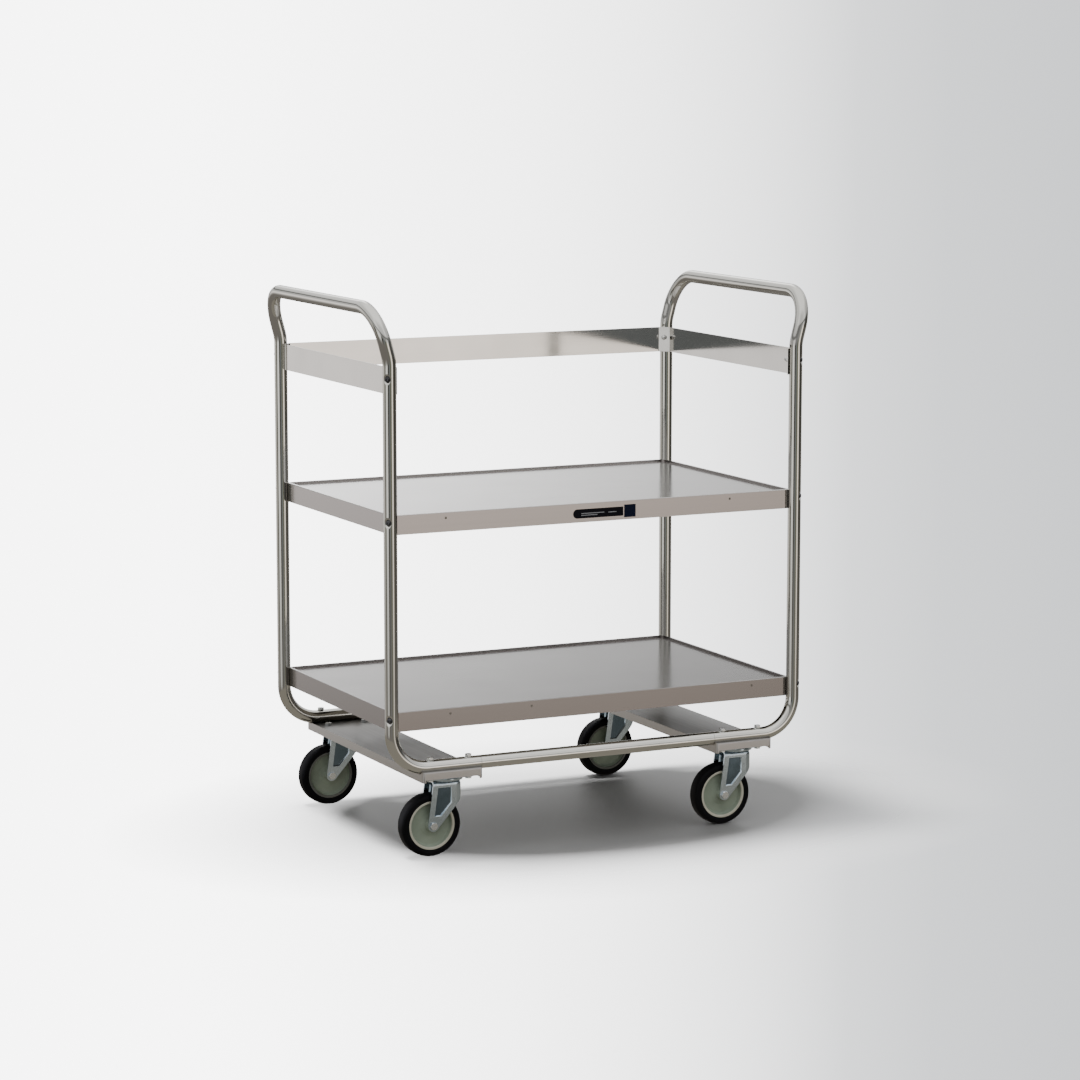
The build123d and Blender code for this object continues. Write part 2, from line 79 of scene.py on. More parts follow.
class Grain(Enum):
    """Direction in which a metal surface was rubbed."""

    ALONG_X = (2.0, 260.0, 260.0)
    ALONG_Y = (260.0, 2.0, 260.0)
    NONE = (60.0, 60.0, 60.0)


# ---------------------------------------------------------------- materials


class NodeGraph:
    """A material's node tree with short calls for adding and joining nodes."""

    def __init__(self, name: str) -> None:
        """Start a material that holds only a Principled shader and its output.

        Args:
            name: Name of the material.
        """
        self.material = bpy.data.materials.new(name)
        self.material.use_nodes = True
        self.tree = self.material.node_tree
        self.tree.nodes.clear()
        self.shader = self.tree.nodes.new("ShaderNodeBsdfPrincipled")
        output = self.tree.nodes.new("ShaderNodeOutputMaterial")
        self.tree.links.new(self.shader.outputs[0], output.inputs["Surface"])

    def set(self, **values: object) -> None:
        """Set constants on the shader's own sockets, with _ for a space in a socket's name."""
        for key, value in values.items():
            self.shader.inputs[key.replace("_", " ")].default_value = value

    def link(self, source: bpy.types.NodeSocket, target: bpy.types.NodeSocket) -> None:
        """Join two sockets."""
        self.tree.links.new(source, target)

    def place(self, scale: Sequence[float]) -> bpy.types.NodeSocket:
        """Object coordinates stretched by a scale.

        Args:
            scale: Scale along X, Y and Z.

        Returns:
            The vector output.
        """
        coords = self.tree.nodes.new("ShaderNodeTexCoord")
        mapping = self.tree.nodes.new("ShaderNodeMapping")
        mapping.inputs["Scale"].default_value = scale
        self.link(coords.outputs["Object"], mapping.inputs["Vector"])
        return mapping.outputs["Vector"]

    def noise(self, scale: Sequence[float], detail: float) -> bpy.types.NodeSocket:
        """Noise over stretched object coordinates.

        Args:
            scale: Scale along X, Y and Z.
            detail: Number of octaves.

        Returns:
            The noise value.
        """
        node = self.tree.nodes.new("ShaderNodeTexNoise")
        node.inputs["Scale"].default_value = 1.0
        node.inputs["Detail"].default_value = detail
        self.link(self.place(scale), node.inputs["Vector"])
        return node.outputs["Fac"]

    def span(self, value: bpy.types.NodeSocket, low: float, high: float,
             start: float = 0.3, stop: float = 0.7) -> bpy.types.NodeSocket:
        """Map a value from start..stop to low..high.

        Args:
            value: Socket to map.
            low: Result at start.
            high: Result at stop.
            start: Lowest value in.
            stop: Highest value in.

        Returns:
            The mapped value.
        """
        node = self.tree.nodes.new("ShaderNodeMapRange")
        node.inputs["From Min"].default_value = start
        node.inputs["From Max"].default_value = stop
        node.inputs["To Min"].default_value = low
        node.inputs["To Max"].default_value = high
        self.link(value, node.inputs["Value"])
        return node.outputs["Result"]

    def blend(self, value: bpy.types.NodeSocket, first: Colour, second: Colour) -> bpy.types.NodeSocket:
        """Colour between first and second by a value from 0.3 to 0.7.

        Args:
            value: Socket that drives the colour.
            first: Colour at the low end.
            second: Colour at the high end.

        Returns:
            The colour.
        """
        node = self.tree.nodes.new("ShaderNodeValToRGB")
        node.color_ramp.elements[0].position = 0.3
        node.color_ramp.elements[0].color = (*first, 1)
        node.color_ramp.elements[1].position = 0.7
        node.color_ramp.elements[1].color = (*second, 1)
        self.link(value, node.inputs["Fac"])
        return node.outputs["Color"]

    def paint_upright_shading(self, colour: bpy.types.NodeSocket, upright: Colour) -> bpy.types.NodeSocket:
        """Paint shading: change to another tone on faces that stand upright, standing in for how light falls
        on them.

        Args:
            colour: Colour socket of level faces.
            upright: Painted tone of upright faces, in place of shading from the light.

        Returns:
            The mixed colour.
        """
        coords = self.tree.nodes.new("ShaderNodeTexCoord")
        split = self.tree.nodes.new("ShaderNodeSeparateXYZ")
        self.link(coords.outputs["Normal"], split.inputs[0])
        height = self.tree.nodes.new("ShaderNodeMath")
        height.operation = "ABSOLUTE"
        self.link(split.outputs["Z"], height.inputs[0])
        mix = self.tree.nodes.new("ShaderNodeMix")
        mix.data_type = "RGBA"
        self.link(self.span(height.outputs[0], 1.0, 0.0, 0.15, 0.75), mix.inputs["Factor"])
        level_in, upright_in = [i for i in mix.inputs if i.type == "RGBA"]
        self.link(colour, level_in)
        upright_in.default_value = (*upright, 1)
        return next(o for o in mix.outputs if o.type == "RGBA")

    def bump(self, height: bpy.types.NodeSocket, strength: float, distance: float,
             under: bpy.types.NodeSocket | None = None) -> bpy.types.NodeSocket:
        """Bump from a height, over an earlier bump if one is given.

        Args:
            height: Height socket.
            strength: Strength of the bump.
            distance: Depth in metres.
            under: Normal of an earlier bump.

        Returns:
            The normal, which is also joined to the shader.
        """
        node = self.tree.nodes.new("ShaderNodeBump")
        node.inputs["Strength"].default_value = strength
        node.inputs["Distance"].default_value = distance
        self.link(height, node.inputs["Height"])
        if under is not None:
            self.link(under, node.inputs["Normal"])
        self.link(node.outputs["Normal"], self.shader.inputs["Normal"])
        return node.outputs["Normal"]


@dataclass(frozen=True)
class SatinMetal:
    """Rubbed or plated metal with a fine grain and slow cloudy changes, and painted shading on upright faces
    where an upright tone is given.

    Attributes:
        name: Material name.
        colour: Darker of the two tones.
        tint: Lighter of the two tones.
        roughness: Mean roughness.
        spread: How far the roughness varies.
        grain: Direction of the rubbing.
        grain_depth: Depth of the grain in metres.
        wave_depth: Depth of the slow ripple of the sheet in metres.
        wave_scale: How many ripples there are per metre.
        upright: Painted shading: tone of upright faces where it differs from level ones.
    """

    name: str
    colour: Colour
    tint: Colour
    roughness: float
    spread: float = 0.05
    grain: Grain = Grain.NONE
    grain_depth: float = 0.00001
    wave_depth: float = 0.0
    wave_scale: float = 4.0
    upright: Colour | None = None

    def build(self) -> bpy.types.Material:
        """Make the material.

        Returns:
            The material.
        """
        graph = NodeGraph(self.name)
        graph.set(Metallic=1.0)
        streaks = graph.noise(self.grain.value, 4.0)
        clouds = graph.noise((7.0, 7.0, 7.0), 3.0)
        tone = graph.blend(clouds, self.colour, self.tint)
        # Painted shading: upright faces get another tone, standing in for how light falls on them.
        if self.upright is not None:
            tone = graph.paint_upright_shading(tone, self.upright)
        graph.link(tone, graph.shader.inputs["Base Color"])
        low, high = self.roughness - self.spread, self.roughness + self.spread
        graph.link(graph.span(streaks, low, high), graph.shader.inputs["Roughness"])
        normal = None
        if self.wave_depth:
            waves = graph.noise((self.wave_scale, self.wave_scale, self.wave_scale), 1.0)
            normal = graph.bump(waves, 1.0, self.wave_depth)
        graph.bump(streaks, 0.5, self.grain_depth, normal)
        return graph.material


@dataclass(frozen=True)
class Moulded:
    """Moulded plastic or rubber with a fine skin texture.

    Attributes:
        name: Material name.
        colour: Darker tone.
        tint: Lighter tone.
        roughness: Mean roughness.
        spread: How far the roughness varies.
        texture_scale: Grains per metre.
        texture_depth: Depth of the skin texture in metres.
        gloss: Strength of the surface's shine.
    """

    name: str
    colour: Colour
    tint: Colour
    roughness: float
    spread: float = 0.06
    texture_scale: float = 900.0
    texture_depth: float = 0.00002
    gloss: float = 0.2

    def build(self) -> bpy.types.Material:
        """Make the material.

        Returns:
            The material.
        """
        graph = NodeGraph(self.name)
        graph.set(Metallic=0.0, Specular_IOR_Level=self.gloss)
        clouds = graph.noise((22.0, 22.0, 22.0), 4.0)
        graph.link(graph.blend(clouds, self.colour, self.tint), graph.shader.inputs["Base Color"])
        fine = graph.noise((self.texture_scale,) * 3, 2.0)
        low, high = self.roughness - self.spread, self.roughness + self.spread
        graph.link(graph.span(clouds, low, high), graph.shader.inputs["Roughness"])
        graph.bump(fine, 0.4, self.texture_depth)
        return graph.material


class Finishes:
    """All finishes of the cart, built once and handed out by name."""

    def __init__(self) -> None:
        """Build every finish."""
        kinds = [
            SatinMetal("tube_polish", (0.60, 0.59, 0.55), (0.68, 0.67, 0.63), 0.09, 0.02,
                       Grain.NONE, 0.0000001),
            # Middle shelf: the darker upright tone is painted shade on the aprons, which are the same steel
            # as the deck.
            SatinMetal("shelf_satin_painted_apron_shade", (0.53, 0.515, 0.50), (0.58, 0.565, 0.55), 0.17, 0.008,
                       Grain.ALONG_X, 0.0000003, 0.0004, 2.2, (0.34, 0.315, 0.305)),
            # Bottom shelf: a darker painted-shade copy of the shelf steel, with painted shade on its aprons
            # as well.
            SatinMetal("bottom_shelf_painted_shade", (0.40, 0.385, 0.375), (0.44, 0.425, 0.415), 0.17, 0.008,
                       Grain.ALONG_X, 0.0000003, 0.0004, 2.2, (0.26, 0.238, 0.228)),
            SatinMetal("guard_satin", (0.60, 0.585, 0.56), (0.66, 0.645, 0.62), 0.10, 0.015,
                       Grain.ALONG_X, 0.0000005, 0.0003, 3.0),
            # Bolster: the dark tone of its level top is painted shade from the shelf above; its upright faces
            # keep a lighter tone.
            SatinMetal("bolster_top_painted_shade", (0.15, 0.145, 0.14), (0.20, 0.193, 0.188), 0.34, 0.03,
                       Grain.ALONG_Y, 0.000002, upright=(0.52, 0.50, 0.49)),
            SatinMetal("stainless_fastener", (0.56, 0.56, 0.55), (0.66, 0.66, 0.65), 0.20, 0.04),
            SatinMetal("zinc_fastener", (0.66, 0.68, 0.68), (0.74, 0.76, 0.76), 0.22, 0.05),
            SatinMetal("zinc_plate", (0.46, 0.54, 0.60), (0.62, 0.70, 0.76), 0.16, 0.04,
                       Grain.NONE, 0.000001),
            # Fork panels: a darker painted-shade copy of the plate's zinc.
            SatinMetal("zinc_panel_painted_shade", (0.10, 0.14, 0.175), (0.17, 0.22, 0.26), 0.16, 0.04,
                       Grain.NONE, 0.000001),
            SatinMetal("dark_button_head", (0.05, 0.05, 0.055), (0.09, 0.09, 0.095), 0.22, 0.04),
            SatinMetal("plain_steel", (0.36, 0.36, 0.36), (0.44, 0.44, 0.44), 0.35),
            SatinMetal("bearing_steel", (0.50, 0.50, 0.50), (0.56, 0.56, 0.56), 0.12),
            Moulded("hub_web", (0.21, 0.25, 0.20), (0.30, 0.35, 0.28), 0.38),
            Moulded("hub_ring_cream", (0.46, 0.45, 0.37), (0.56, 0.55, 0.46), 0.42),
            # Rear wheels' ring: a darker painted-shade copy of the cream ring, as if in the cart's shadow.
            Moulded("hub_ring_painted_shade", (0.11, 0.115, 0.105), (0.15, 0.155, 0.14), 0.42),
            Moulded("tyre_rubber", (0.0035, 0.0035, 0.0042), (0.007, 0.007, 0.008), 0.5, gloss=0.06),
            Moulded("label_black", (0.004, 0.004, 0.007), (0.007, 0.007, 0.011), 0.35, gloss=0.06),
            Moulded("label_blue", (0.003, 0.006, 0.020), (0.005, 0.009, 0.030), 0.35, gloss=0.06),
            Moulded("label_pale", (0.30, 0.31, 0.33), (0.36, 0.37, 0.39), 0.4),
            Moulded("weld_tint", (0.16, 0.14, 0.12), (0.22, 0.20, 0.17), 0.45),
        ]
        self.made = {kind.name: kind.build() for kind in kinds}

    def dress(self, piece: bpy.types.Object, *finishes: str) -> None:
        """Give a piece its finishes, one for each material slot.

        Args:
            piece: Object to dress.
            finishes: Names of the finishes, in slot order.
        """
        piece.data.materials.clear()
        for finish in finishes:
            piece.data.materials.append(self.made[finish])


# ---------------------------------------------------------------- mesh helpers


def new_piece(name: str, verts: Sequence[Vector], faces: Sequence[Sequence[int]],
              smooth_angle: float = 40.0) -> bpy.types.Object:
    """Make a mesh object with outward faces and smooth shading up to an angle.

    Args:
        name: Name of the piece.
        verts: Vertices in metres, in the cart's frame.
        faces: Faces as vertex indices.
        smooth_angle: Sharpest edge, in degrees, that is shaded smooth.

    Returns:
        The object.
    """
    mesh = bpy.data.meshes.new(name)
    mesh.from_pydata([tuple(v) for v in verts], [], [tuple(f) for f in faces])
    shape = bmesh.new()
    shape.from_mesh(mesh)
    bmesh.ops.recalc_face_normals(shape, faces=shape.faces)
    limit = math.radians(smooth_angle)
    for face in shape.faces:
        face.smooth = True
    for edge in shape.edges:
        edge.smooth = len(edge.link_faces) == 2 and edge.calc_face_angle(0.0) < limit
    shape.to_mesh(mesh)
    shape.free()
    piece = bpy.data.objects.new(name, mesh)
    bpy.context.scene.collection.objects.link(piece)
    return piece


def stand_for(piece: bpy.types.Object, node: str, body: str) -> None:
    """Let a new piece take a CAD node's place on its body.

    Args:
        piece: The new piece.
        node: CAD node that it replaces.
        body: Body that it rides on.
    """
    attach(piece, body)
    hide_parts(node)
    LOG.info("%s replaces %s on %s", piece.name, node, body)


def soften(piece: bpy.types.Object, width: float) -> None:
    """Round a piece's sharp edges with modifiers.

    Args:
        piece: Object with sharp edges.
        width: Width of the rounding.
    """
    weld = piece.modifiers.new("join_faces", "WELD")
    weld.merge_threshold = 0.01 * MM
    bevel = piece.modifiers.new("soft_edges", "BEVEL")
    bevel.width = width
    bevel.segments = 2
    bevel.limit_method = "ANGLE"
    bevel.angle_limit = math.radians(38)
    bevel.use_clamp_overlap = True
    normals = piece.modifiers.new("flat_faces", "WEIGHTED_NORMAL")
    normals.keep_sharp = False
    normals.weight = 60


def rounded_path(points: Sequence[Vector], radii: Sequence[float], step: float) -> list[Vector]:
    """Centreline of a bent tube: straight runs joined by tangent arcs.

    Args:
        points: Corners of the route.
        radii: Bend radius at each inner corner.
        step: Longest step along an arc.

    Returns:
        Points along the centreline.
    """
    line = [points[0]]
    for before, at, after, radius in zip(points, points[1:], points[2:], radii):
        into, out = (before - at).normalized(), (after - at).normalized()
        half = into.angle(out) / 2
        tangent = radius / math.tan(half)
        centre = at + (into + out).normalized() * (radius / math.sin(half))
        start, end = at + into * tangent - centre, at + out * tangent - centre
        turn = start.angle(end)
        count = max(4, math.ceil(radius * turn / step))
        for i in range(count + 1):
            share = i / count
            spoke = start * math.sin((1 - share) * turn) + end * math.sin(share * turn)
            line.append(centre + spoke / math.sin(turn))
    return line + [points[-1]]


# ---------------------------------------------------------------- frame tubes


@dataclass(frozen=True)
class BoltSeat:
    """A dimple pressed into an upright for a bolt head.

    Attributes:
        corner: Corner whose upright it is in.
        height: Height above the floor.
        floor_r: Radius of the flat floor.
        mouth_r: Radius at which the dimple meets the tube.
        depth: Depth of the floor below the tube's surface.
        soft: Rounding where the dimple meets the tube.
    """

    corner: Corner
    height: float
    floor_r: float = 5.7 * MM
    mouth_r: float = 10.8 * MM
    depth: float = 3.0 * MM
    soft: float = 0.9 * MM

    def press(self, point: Vector, axis_x: float, axis_y: float, surface_r: float) -> Vector:
        """Move a point of the tube's surface down into the dimple.

        Args:
            point: Point on the surface.
            axis_x: X of the upright's centreline.
            axis_y: Y of the upright's centreline.
            surface_r: Radius of the surface that the point is on.

        Returns:
            The point, moved if it lies over the dimple.
        """
        outward = Vector((*self.corner.value, 0)).normalized()
        sideways = Vector((-outward.y, outward.x, 0))
        local = point - Vector((axis_x, axis_y, self.height))
        out = local.dot(outward)
        radius = math.hypot(local.dot(sideways), local.z)
        if out <= 0 or radius >= self.mouth_r * 1.25:
            return point
        floor = surface_r - self.depth
        share = (radius - self.floor_r) / (self.mouth_r - self.floor_r)
        cone = floor + self.depth * max(0.0, share) * 1.15
        blend = max(0.0, min(1.0, 0.5 + (out - cone) / (2 * self.soft)))
        lowered = out * (1 - blend) + cone * blend - self.soft * blend * (1 - blend)
        return point + outward * (min(out, lowered) - out)


@dataclass
class BentTube:
    """A round tube swept along a rounded route, with pressed bolt seats.

    Attributes:
        name: Name of the piece.
        node: CAD node that it stands for.
        points: Corners of its centreline.
        radii: Bend radius at each inner corner.
        outer_r: Outside radius.
        wall: Wall thickness.
        seats: Bolt seats pressed into it.
        sides: Facets round the tube.
        bend_step: Longest step along a bend.
        seat_reach: Length above and below a bolt seat with close points.
        seat_steps: Number of points in that length.
        upright_run: Shortest rise of a straight run that is an upright.
    """

    name: str
    node: str
    points: list[Vector]
    radii: list[float]
    outer_r: float
    wall: float
    seats: list[BoltSeat] = field(default_factory=list)
    sides: int = 72
    bend_step: float = 4 * MM
    seat_reach: float = 13 * MM
    seat_steps: int = 12
    upright_run: float = 100 * MM

    def stations(self) -> list[Vector]:
        """Centreline points, closer together where a bolt seat is.

        Returns:
            Points along the centreline.
        """
        line = rounded_path(self.points, self.radii, self.bend_step)
        dense: list[Vector] = []
        for start, end in zip(line, line[1:]):
            dense.append(start)
            if abs(end.z - start.z) < self.upright_run:
                continue
            way = 1 if end.z > start.z else -1
            for height in sorted({s.height for s in self.seats}, reverse=way < 0):
                for i in range(-self.seat_steps, self.seat_steps + 1):
                    rise = self.seat_reach * way * i / self.seat_steps
                    dense.append(Vector((start.x, start.y, height + rise)))
        return dense + [line[-1]]

    def build(self) -> bpy.types.Object:
        """Sweep the tube and press its bolt seats.

        Returns:
            The tube.
        """
        line = self.stations()
        tangents = []
        for i in range(len(line)):
            before, after = line[max(0, i - 1)], line[min(len(line) - 1, i + 1)]
            tangents.append((after - before).normalized())
        normal = tangents[0].orthogonal().normalized()
        rings: list[list[Vector]] = []
        for i, (centre, tangent) in enumerate(zip(line, tangents)):
            if i:
                normal = tangents[i - 1].rotation_difference(tangent) @ normal
            binormal = tangent.cross(normal)
            ring = []
            for radius in (self.outer_r, self.outer_r - self.wall):
                for k in range(self.sides):
                    angle = 2 * math.pi * k / self.sides
                    spoke = normal * math.cos(angle) + binormal * math.sin(angle)
                    ring.append(self.pressed(centre + spoke * radius, centre, radius))
            rings.append(ring)
        verts = [v for ring in rings for v in ring]
        n = self.sides
        faces = []
        for i in range(len(rings) - 1):
            a, b = i * 2 * n, (i + 1) * 2 * n
            for k in range(n):
                j = (k + 1) % n
                faces.append((a + k, a + j, b + j, b + k))
                faces.append((a + n + j, a + n + k, b + n + k, b + n + j))
        for a in (0, (len(rings) - 1) * 2 * n):
            faces += [(a + k, a + (k + 1) % n, a + n + (k + 1) % n, a + n + k) for k in range(n)]
        piece = new_piece(self.name, verts, faces)
        stand_for(piece, self.node, ROOT_BODY)
        return piece

    def pressed(self, point: Vector, centre: Vector, radius: float) -> Vector:
        """Press a surface point by the bolt seat near it, if there is one.

        Args:
            point: Point on the tube's surface.
            centre: Point of the centreline that it belongs to.
            radius: Radius of the surface that the point is on.

        Returns:
            The point, moved if it lies over a bolt seat.
        """
        for seat in self.seats:
            near = abs(centre.z - seat.height) < 2 * seat.mouth_r
            same = centre.x * seat.corner.value[0] > 0 and centre.y * seat.corner.value[1] > 0
            if near and same:
                return seat.press(point, centre.x, centre.y, radius)
        return point


@dataclass
class TubeFrame:
    """The two bent end frames and the two base tubes between them.

    Attributes:
        wall: Tube wall.
        lean_bend_r: Bend radius where the uprights lean out.
        handle_bend_r: Bend radius of the handle's corners.
        lean_start: Height of the lean above the base tubes.
        base_bend_r: Bend radius from the uprights into the base.
    """

    wall: float = 1.5 * MM
    lean_bend_r: float = 95 * MM
    handle_bend_r: float = 75 * MM
    lean_start: float = 850.5 * MM
    base_bend_r: float = 77 * MM

    def build(self) -> list[bpy.types.Object]:
        """Make the four tubes.

        Returns:
            The tubes.
        """
        low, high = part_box("front_base_tube")
        radius = (high.z - low.z) / 2
        base_z = (high.z + low.z) / 2
        front_y = (high.y + low.y) / 2
        made = []
        for node, y in (("front_base_tube", front_y), ("rear_base_tube", -front_y)):
            ends = [Vector((low.x, y, base_z)), Vector((high.x, y, base_z))]
            made.append(BentTube(f"{node}_polished", node, ends, [], radius, self.wall).build())
        for side, name in ((-1, "left_end_frame"), (1, "right_end_frame")):
            made.append(self.end_frame(side, name, radius, base_z, abs(front_y)))
        return made

    def end_frame(self, side: int, node: str, radius: float, base_z: float, leg_y: float) -> bpy.types.Object:
        """Make one end frame from its CAD box and the heights of its bolts.

        Args:
            side: -1 for the left end, 1 for the right end.
            node: CAD node that it stands for.
            radius: Outside radius of the tube.
            base_z: Height of the base tubes' centreline.
            leg_y: Distance of the uprights from the middle.

        Returns:
            The end frame.
        """
        low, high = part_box(node)
        handle_z = high.z - radius
        handle_x = side * (max(abs(low.x), abs(high.x)) - radius)
        stub_x = side * min(abs(low.x), abs(high.x))
        guard_low, guard_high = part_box("guard_rail")
        post_x = side * max(abs(guard_low.x), abs(guard_high.x))
        leg = [
            Vector((stub_x, -leg_y, base_z)),
            Vector((post_x, -leg_y, base_z)),
            Vector((post_x, -leg_y, base_z + self.lean_start)),
            Vector((handle_x, -leg_y, handle_z)),
        ]
        points = leg + [Vector((p.x, -p.y, p.z)) for p in reversed(leg)]
        bends = [self.base_bend_r, self.lean_bend_r, self.handle_bend_r]
        seats = []
        for bolts in ("guard_bolts", "middle_shelf_bolts", "bottom_shelf_bolts"):
            bolt_low, bolt_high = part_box(bolts)
            height = (bolt_low.z + bolt_high.z) / 2
            seats += [BoltSeat(corner, height) for corner in Corner if corner.value[0] == side]
        tube = BentTube(f"{node}_polished", node, points, bends + bends[::-1], radius, self.wall, seats)
        return tube.build()


# ---------------------------------------------------------------- CAD nodes that keep their shape


@dataclass
class DressedNodes:
    """CAD nodes whose shape stays and that only get a finish and soft edges.

    Attributes:
        finishes: The cart's finishes.
        edges: Width of the softened edges by the ending of a node's name.
    """

    finishes: Finishes
    edges: dict[str, float] = field(default_factory=lambda: {
        "_shelf": 0.7 * MM, "guard_rail": 0.5 * MM, "_bolster": 0.7 * MM,
        "_caster_plate": 0.7 * MM, "_bolts": 0.35 * MM, "_cap_nuts": 0.3 * MM, "_nuts": 0.35 * MM,
        "_axle": 0.4 * MM, "label_bar": 0.15 * MM, "label_square": 0.15 * MM, "_channels": 0.4 * MM,
        "_stiffeners": 0.4 * MM})

    def finish_of(self, node: str) -> str:
        """Finish that belongs to a node.

        Args:
            node: Name of the CAD node.

        Returns:
            Name of the finish.
        """
        by_slot = {
            "tube_stainless": "tube_polish",
            "shelf_stainless": "shelf_satin_painted_apron_shade",
            "guard_stainless": "guard_satin",
            "bolster_stainless": "bolster_top_painted_shade",
            "bolt_stainless": "stainless_fastener",
            "bolt_zinc": "zinc_fastener",
            "zinc_plate": "zinc_plate",
            "inner_steel": "plain_steel",
            "ball_steel": "bearing_steel",
            "hub_plastic": "hub_web",
            "tyre_rubber": "tyre_rubber",
            "label_black": "label_black",
            "label_blue": "label_blue",
        }
        # The bottom shelf takes the darker painted-shade copy of the shelf steel.
        if node == "bottom_shelf":
            return "bottom_shelf_painted_shade"
        if node in ("guard_bolts", "middle_shelf_bolts", "bottom_shelf_bolts"):
            return "dark_button_head"
        slots = {row["node"]: row["material_slot"] for row in frame["record"]["subparts"]}
        return by_slot[slots[node]]

    def build(self) -> None:
        """Dress every CAD node."""
        for node, piece in frame["nodes"].items():
            self.finishes.dress(piece, self.finish_of(node))
            for ending, width in self.edges.items():
                if node.endswith(ending):
                    soften(piece, width)
            LOG.info("%s dressed", node)


# ---------------------------------------------------------------- wheels


def rounded_outline(points: Sequence[Point], radii: Sequence[float], steps: int = 6) -> list[Point]:
    """Closed outline with rounded corners.

    Args:
        points: Corners as (radius, offset along the axle).
        radii: Rounding at each corner, 0 for a sharp one.
        steps: Steps along each arc.

    Returns:
        Points of the outline.
    """
    outline: list[Point] = []
    count = len(points)
    for i, radius in enumerate(radii):
        at = Vector((*points[i], 0))
        if radius <= 0:
            outline.append((at.x, at.y))
            continue
        before, after = Vector((*points[i - 1], 0)), Vector((*points[(i + 1) % count], 0))
        arc = rounded_path([before, at, after], [radius], radius * math.pi / (2 * steps))
        outline += [(p.x, p.y) for p in arc[1:-1]]
    return outline


@dataclass
class Wheel:
    """A rubber tyre and its moulded hub.

    Attributes:
        corner: Corner of the cart.
        finishes: The cart's finishes.
        ring_finish: Finish of the hub's raised ring.
        shoulder_r: Rounding of the tyre's shoulders.
        ring_depth: Depth of the raised ring, along the radius.
        sides: Facets round the wheel.
    """

    corner: Corner
    finishes: Finishes
    ring_finish: str = "hub_ring_cream"
    shoulder_r: float = 7.5 * MM
    ring_depth: float = 5.6 * MM
    sides: int = 128

    def turned(self, name: str, outline: Sequence[Point], centre: Vector) -> bpy.types.Object:
        """Turn an outline about the axle.

        Args:
            name: Name of the piece.
            outline: Closed outline as (radius, offset along the axle).
            centre: Middle of the wheel.

        Returns:
            The turned piece.
        """
        verts = []
        for k in range(self.sides):
            angle = 2 * math.pi * k / self.sides
            across, up = math.cos(angle), math.sin(angle)
            verts += [centre + Vector((r * across, y, r * up)) for r, y in outline]
        n = len(outline)
        faces = []
        for k in range(self.sides):
            a, b = k * n, (k + 1) % self.sides * n
            faces += [(a + i, a + (i + 1) % n, b + (i + 1) % n, b + i) for i in range(n)]
        return new_piece(name, verts, faces, 30.0)

    def build(self) -> None:
        """Make the tyre and the hub in the places of their CAD nodes."""
        label = self.corner.label
        low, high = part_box(f"{label}_tyre")
        centre = (low + high) / 2
        radius, half = (high.z - low.z) / 2, (high.y - low.y) / 2
        hub_low, hub_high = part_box(f"{label}_wheel_hub")
        rim_r, boss = (hub_high.z - hub_low.z) / 2, (hub_high.y - hub_low.y) / 2
        self.tyre(centre, radius, half, rim_r)
        self.hub(centre, rim_r, half, boss)

    def tyre(self, centre: Vector, radius: float, half: float, rim_r: float) -> None:
        """Make the tyre: flat sides with a moulded step, round shoulders and a slight crown.

        Args:
            centre: Middle of the wheel.
            radius: Radius of the tread.
            half: Half the width of the tyre.
            rim_r: Radius of the hub under the tyre.
        """
        step_r, step = rim_r + 3.2 * MM, 0.6 * MM
        side = [
            (rim_r, half - step), (step_r, half - step),
            (step_r + 0.8 * MM, half), (radius - 0.4 * MM, half),
        ]
        points = side + [(radius, 0.0)] + [(r, -y) for r, y in reversed(side)]
        rounds = [0, 0.4 * MM, 0.4 * MM, self.shoulder_r, 0]
        outline = rounded_outline(points, rounds + rounds[-2::-1])
        tyre = self.turned(f"{self.corner.label}_tread", outline, centre)
        stand_for(tyre, f"{self.corner.label}_tyre", f"{self.corner.label}_wheel")
        self.finishes.dress(tyre, "tyre_rubber")

    def hub(self, centre: Vector, rim_r: float, half: float, boss: float) -> None:
        """Make the hub: raised ring, dished web and boss.

        Args:
            centre: Middle of the wheel.
            rim_r: Radius of the hub.
            half: Half the width of the tyre.
            boss: Half the length of the boss.
        """
        ring_r = rim_r - self.ring_depth
        side = [
            (7.1 * MM, boss), (12.4 * MM, boss), (13.2 * MM, 9.6 * MM), (24 * MM, 6.6 * MM),
            (ring_r - 3.4 * MM, 5.8 * MM), (ring_r, 13.2 * MM), (ring_r + 1.2 * MM, half - 0.6 * MM),
            (rim_r - 0.1 * MM, half - 0.6 * MM),
        ]
        points = side + [(r, -y) for r, y in reversed(side)]
        rounds = [0, 0.8 * MM, 1.5 * MM, 6 * MM, 3 * MM, 0.8 * MM, 0.8 * MM, 0.6 * MM]
        outline = rounded_outline(points, rounds + rounds[::-1])
        hub = self.turned(f"{self.corner.label}_dished_hub", outline, centre)
        stand_for(hub, f"{self.corner.label}_wheel_hub", f"{self.corner.label}_wheel")
        self.finishes.dress(hub, "hub_web", self.ring_finish)
        for face in hub.data.polygons:
            out = math.hypot(face.center.x - centre.x, face.center.z - centre.z)
            if out > ring_r - 0.5 * MM:
                face.material_index = 1


